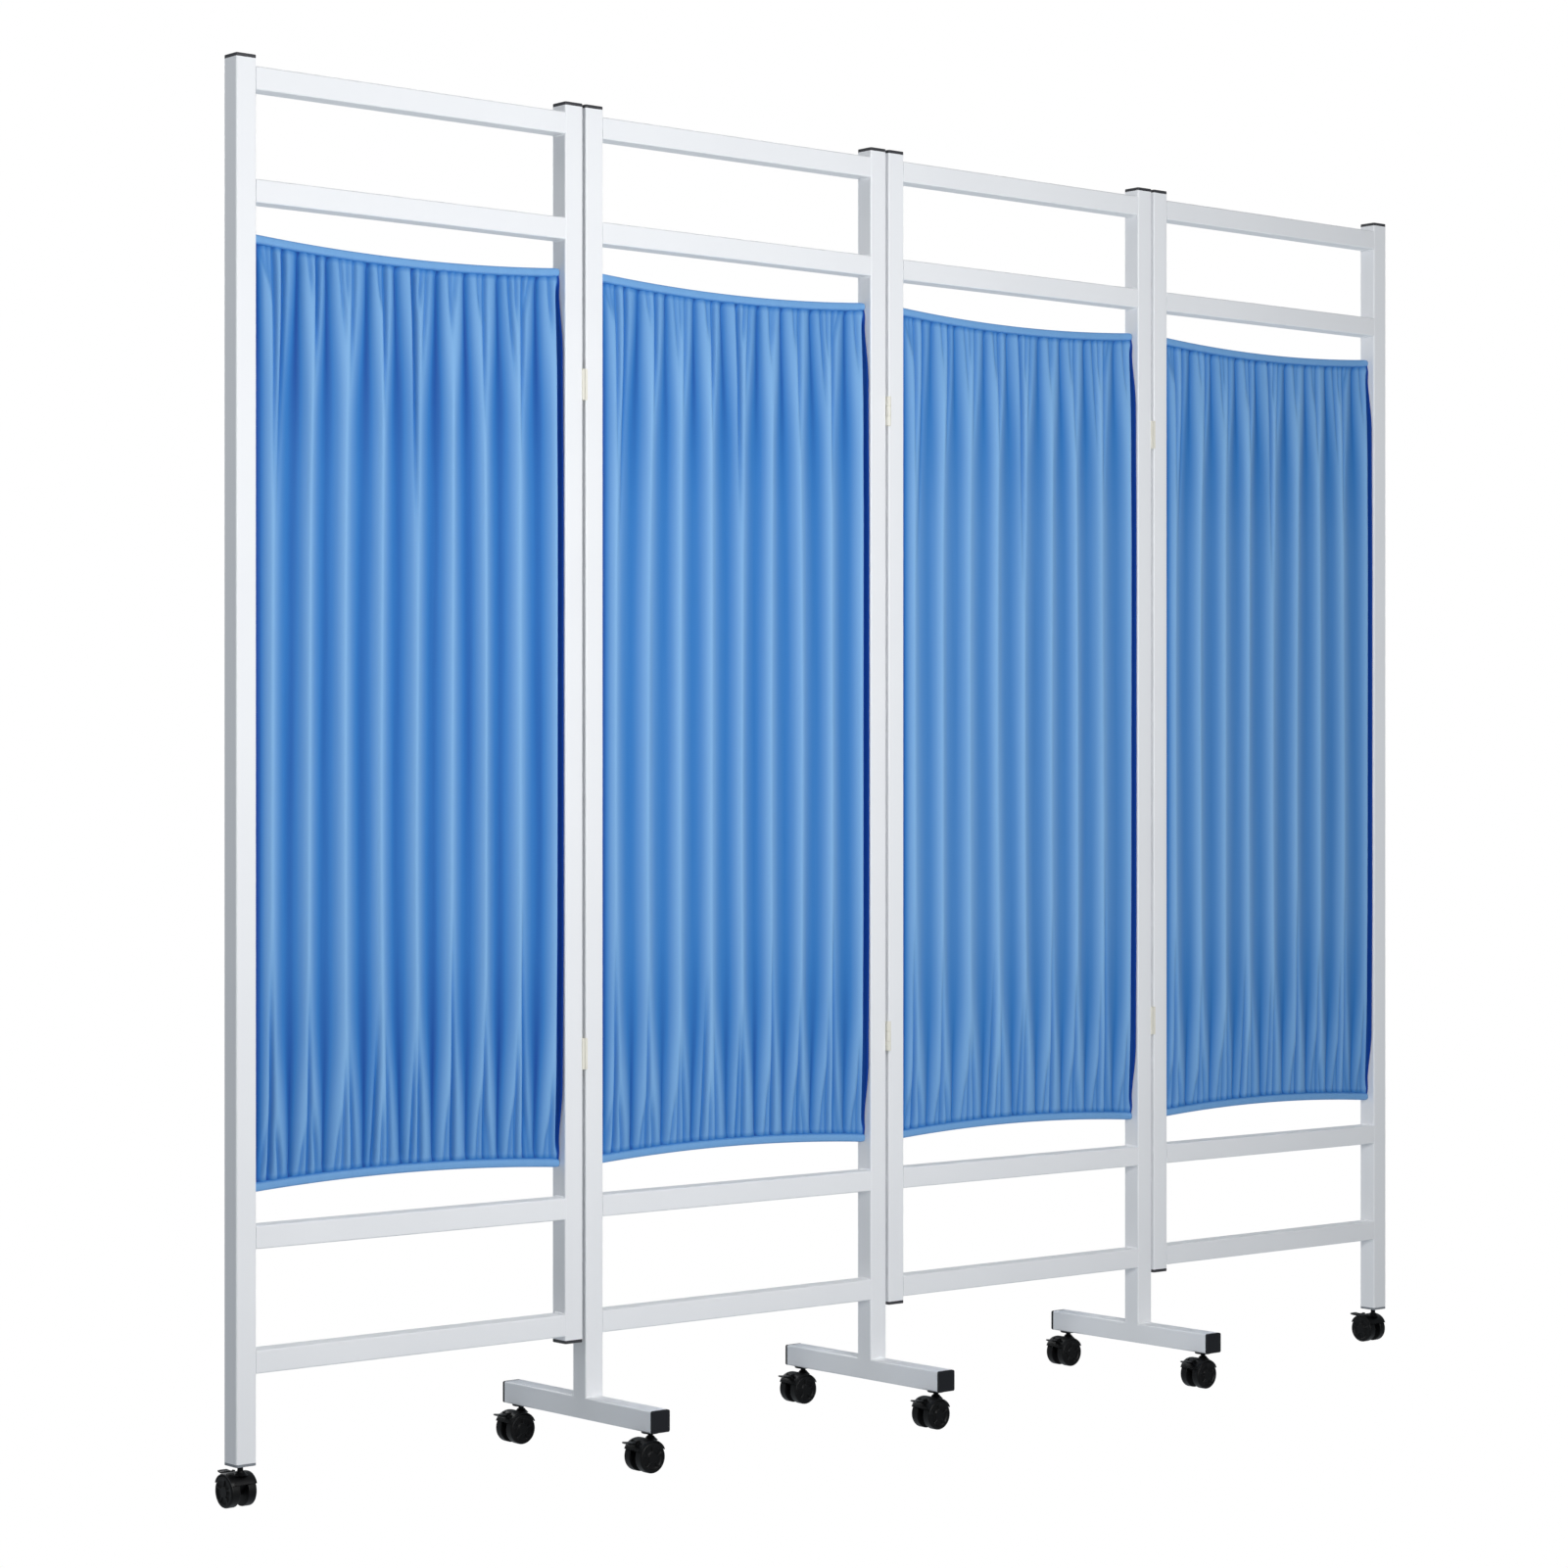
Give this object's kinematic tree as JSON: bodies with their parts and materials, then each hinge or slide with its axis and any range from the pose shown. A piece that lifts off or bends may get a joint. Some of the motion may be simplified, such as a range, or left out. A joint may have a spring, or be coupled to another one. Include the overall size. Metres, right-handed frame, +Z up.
{
  "type": "ward privacy screen on wheels",
  "caption": "Folding ward privacy screen: hinged panels of white square tube, gathered blue curtains between their rails, T-shaped foot bars and braked twin-wheel swivel casters.",
  "frame": {"origin": "on the floor, in the middle of the row of panels and of the foot bars", "axes": "+X along the flat row of panels towards the panel that is at the right as seen from the front, +Y to the rear, +Z up"},
  "size_m": [2.235, 0.34, 1.854],
  "materials": {
    "powder_coat": "white semi-gloss powder coat on steel tube",
    "cap_plastic": "dark grey moulded plastic",
    "insert_plastic": "mid grey moulded plastic",
    "caster_plastic": "black moulded nylon, low sheen",
    "hinge_nylon": "cream moulded nylon",
    "cloth": "plain woven blue curtain cloth, gathered"
  },
  "bodies": {
    "panel_2": {"panel_2_frame": "powder_coat", "panel_2_curtain": "cloth", "panel_2_left_post_cap": "cap_plastic", "panel_2_right_post_cap": "cap_plastic", "foot_bar_1": "powder_coat", "foot_bar_2": "powder_coat", "hinge_1_upper_right_leaf": "hinge_nylon", "hinge_1_lower_right_leaf": "hinge_nylon", "hinge_2_upper_left_leaf": "hinge_nylon", "hinge_2_lower_left_leaf": "hinge_nylon"},
    "panel_1": {"panel_1_frame": "powder_coat", "panel_1_curtain": "cloth", "panel_1_left_post_cap": "cap_plastic", "panel_1_right_post_cap": "cap_plastic", "panel_1_right_tail_cap": "cap_plastic", "panel_1_stem_insert": "insert_plastic", "hinge_1_upper_left_leaf": "hinge_nylon", "hinge_1_lower_left_leaf": "hinge_nylon"},
    "panel_3": {"panel_3_frame": "powder_coat", "panel_3_curtain": "cloth", "panel_3_left_post_cap": "cap_plastic", "panel_3_right_post_cap": "cap_plastic", "panel_3_left_tail_cap": "cap_plastic", "foot_bar_3": "powder_coat", "hinge_2_upper_right_leaf": "hinge_nylon", "hinge_2_lower_right_leaf": "hinge_nylon", "hinge_3_upper_left_leaf": "hinge_nylon", "hinge_3_lower_left_leaf": "hinge_nylon"},
    "panel_4": {"panel_4_frame": "powder_coat", "panel_4_curtain": "cloth", "panel_4_left_post_cap": "cap_plastic", "panel_4_right_post_cap": "cap_plastic", "panel_4_left_tail_cap": "cap_plastic", "panel_4_stem_insert": "insert_plastic", "hinge_3_upper_right_leaf": "hinge_nylon", "hinge_3_lower_right_leaf": "hinge_nylon"},
    "caster_1": {"caster_1_housing": "caster_plastic"},
    "caster_1_wheels": {"caster_1_wheels": "caster_plastic"},
    "caster_1_brake_pedal": {"caster_1_brake_pedal": "caster_plastic"},
    "caster_2": {"caster_2_housing": "caster_plastic"},
    "caster_2_wheels": {"caster_2_wheels": "caster_plastic"},
    "caster_2_brake_pedal": {"caster_2_brake_pedal": "caster_plastic"},
    "caster_3": {"caster_3_housing": "caster_plastic"},
    "caster_3_wheels": {"caster_3_wheels": "caster_plastic"},
    "caster_3_brake_pedal": {"caster_3_brake_pedal": "caster_plastic"},
    "caster_4": {"caster_4_housing": "caster_plastic"},
    "caster_4_wheels": {"caster_4_wheels": "caster_plastic"},
    "caster_4_brake_pedal": {"caster_4_brake_pedal": "caster_plastic"},
    "caster_5": {"caster_5_housing": "caster_plastic"},
    "caster_5_wheels": {"caster_5_wheels": "caster_plastic"},
    "caster_5_brake_pedal": {"caster_5_brake_pedal": "caster_plastic"},
    "caster_6": {"caster_6_housing": "caster_plastic"},
    "caster_6_wheels": {"caster_6_wheels": "caster_plastic"},
    "caster_6_brake_pedal": {"caster_6_brake_pedal": "caster_plastic"},
    "caster_7": {"caster_7_housing": "caster_plastic"},
    "caster_7_wheels": {"caster_7_wheels": "caster_plastic"},
    "caster_7_brake_pedal": {"caster_7_brake_pedal": "caster_plastic"},
    "caster_8": {"caster_8_housing": "caster_plastic"},
    "caster_8_wheels": {"caster_8_wheels": "caster_plastic"},
    "caster_8_brake_pedal": {"caster_8_brake_pedal": "caster_plastic"}
  },
  "joints": [
    {"name": "hinge_1", "type": "hinge", "parent": "panel_2", "child": "panel_1", "pos_m": [-0.558, 0.0095, 1.0125], "axis": [0, 0, -1], "range_deg": [0, 155]},
    {"name": "hinge_2", "type": "hinge", "parent": "panel_2", "child": "panel_3", "pos_m": [0, -0.0255, 1.0125], "axis": [0, 0, -1], "range_deg": [0, 140]},
    {"name": "hinge_3", "type": "hinge", "parent": "panel_3", "child": "panel_4", "pos_m": [0.558, 0.0095, 1.0125], "axis": [0, 0, 1], "range_deg": [0, 155]},
    {"name": "caster_1_swivel", "type": "hinge", "parent": "panel_1", "child": "caster_1", "pos_m": [-1.0985, -0.008, 0.054], "axis": [0, 0, 1], "continuous": true},
    {"name": "caster_1_roll", "type": "hinge", "parent": "caster_1", "child": "caster_1_wheels", "pos_m": [-1.0985, 0.002, 0.021], "axis": [1, 0, 0], "continuous": true},
    {"name": "caster_1_brake", "type": "hinge", "parent": "caster_1", "child": "caster_1_brake_pedal", "pos_m": [-1.0985, 0.017, 0.0422], "axis": [-1, 0, 0], "range_deg": [0, 15]},
    {"name": "caster_2_swivel", "type": "hinge", "parent": "panel_2", "child": "caster_2", "pos_m": [-0.5405, -0.146, 0.054], "axis": [0, 0, 1], "continuous": true},
    {"name": "caster_2_roll", "type": "hinge", "parent": "caster_2", "child": "caster_2_wheels", "pos_m": [-0.5505, -0.146, 0.021], "axis": [0, 1, 0], "continuous": true},
    {"name": "caster_2_brake", "type": "hinge", "parent": "caster_2", "child": "caster_2_brake_pedal", "pos_m": [-0.5655, -0.146, 0.0422], "axis": [0, -1, 0], "range_deg": [0, 15]},
    {"name": "caster_3_swivel", "type": "hinge", "parent": "panel_2", "child": "caster_3", "pos_m": [-0.5405, 0.146, 0.054], "axis": [0, 0, 1], "continuous": true},
    {"name": "caster_3_roll", "type": "hinge", "parent": "caster_3", "child": "caster_3_wheels", "pos_m": [-0.5505, 0.146, 0.021], "axis": [0, 1, 0], "continuous": true},
    {"name": "caster_3_brake", "type": "hinge", "parent": "caster_3", "child": "caster_3_brake_pedal", "pos_m": [-0.5655, 0.146, 0.0422], "axis": [0, -1, 0], "range_deg": [0, 15]},
    {"name": "caster_4_swivel", "type": "hinge", "parent": "panel_2", "child": "caster_4", "pos_m": [-0.0175, -0.146, 0.054], "axis": [0, 0, 1], "continuous": true},
    {"name": "caster_4_roll", "type": "hinge", "parent": "caster_4", "child": "caster_4_wheels", "pos_m": [-0.0275, -0.146, 0.021], "axis": [0, 1, 0], "continuous": true},
    {"name": "caster_4_brake", "type": "hinge", "parent": "caster_4", "child": "caster_4_brake_pedal", "pos_m": [-0.0425, -0.146, 0.0422], "axis": [0, -1, 0], "range_deg": [0, 15]},
    {"name": "caster_5_swivel", "type": "hinge", "parent": "panel_2", "child": "caster_5", "pos_m": [-0.0175, 0.146, 0.054], "axis": [0, 0, 1], "continuous": true},
    {"name": "caster_5_roll", "type": "hinge", "parent": "caster_5", "child": "caster_5_wheels", "pos_m": [-0.0275, 0.146, 0.021], "axis": [0, 1, 0], "continuous": true},
    {"name": "caster_5_brake", "type": "hinge", "parent": "caster_5", "child": "caster_5_brake_pedal", "pos_m": [-0.0425, 0.146, 0.0422], "axis": [0, -1, 0], "range_deg": [0, 15]},
    {"name": "caster_6_swivel", "type": "hinge", "parent": "panel_3", "child": "caster_6", "pos_m": [0.5405, -0.146, 0.054], "axis": [0, 0, 1], "continuous": true},
    {"name": "caster_6_roll", "type": "hinge", "parent": "caster_6", "child": "caster_6_wheels", "pos_m": [0.5305, -0.146, 0.021], "axis": [0, 1, 0], "continuous": true},
    {"name": "caster_6_brake", "type": "hinge", "parent": "caster_6", "child": "caster_6_brake_pedal", "pos_m": [0.5155, -0.146, 0.0422], "axis": [0, -1, 0], "range_deg": [0, 15]},
    {"name": "caster_7_swivel", "type": "hinge", "parent": "panel_3", "child": "caster_7", "pos_m": [0.5405, 0.146, 0.054], "axis": [0, 0, 1], "continuous": true},
    {"name": "caster_7_roll", "type": "hinge", "parent": "caster_7", "child": "caster_7_wheels", "pos_m": [0.5305, 0.146, 0.021], "axis": [0, 1, 0], "continuous": true},
    {"name": "caster_7_brake", "type": "hinge", "parent": "caster_7", "child": "caster_7_brake_pedal", "pos_m": [0.5155, 0.146, 0.0422], "axis": [0, -1, 0], "range_deg": [0, 15]},
    {"name": "caster_8_swivel", "type": "hinge", "parent": "panel_4", "child": "caster_8", "pos_m": [1.0985, -0.008, 0.054], "axis": [0, 0, 1], "continuous": true},
    {"name": "caster_8_roll", "type": "hinge", "parent": "caster_8", "child": "caster_8_wheels", "pos_m": [1.0985, 0.002, 0.021], "axis": [1, 0, 0], "continuous": true},
    {"name": "caster_8_brake", "type": "hinge", "parent": "caster_8", "child": "caster_8_brake_pedal", "pos_m": [1.0985, 0.017, 0.0422], "axis": [-1, 0, 0], "range_deg": [0, 15]}
  ]
}
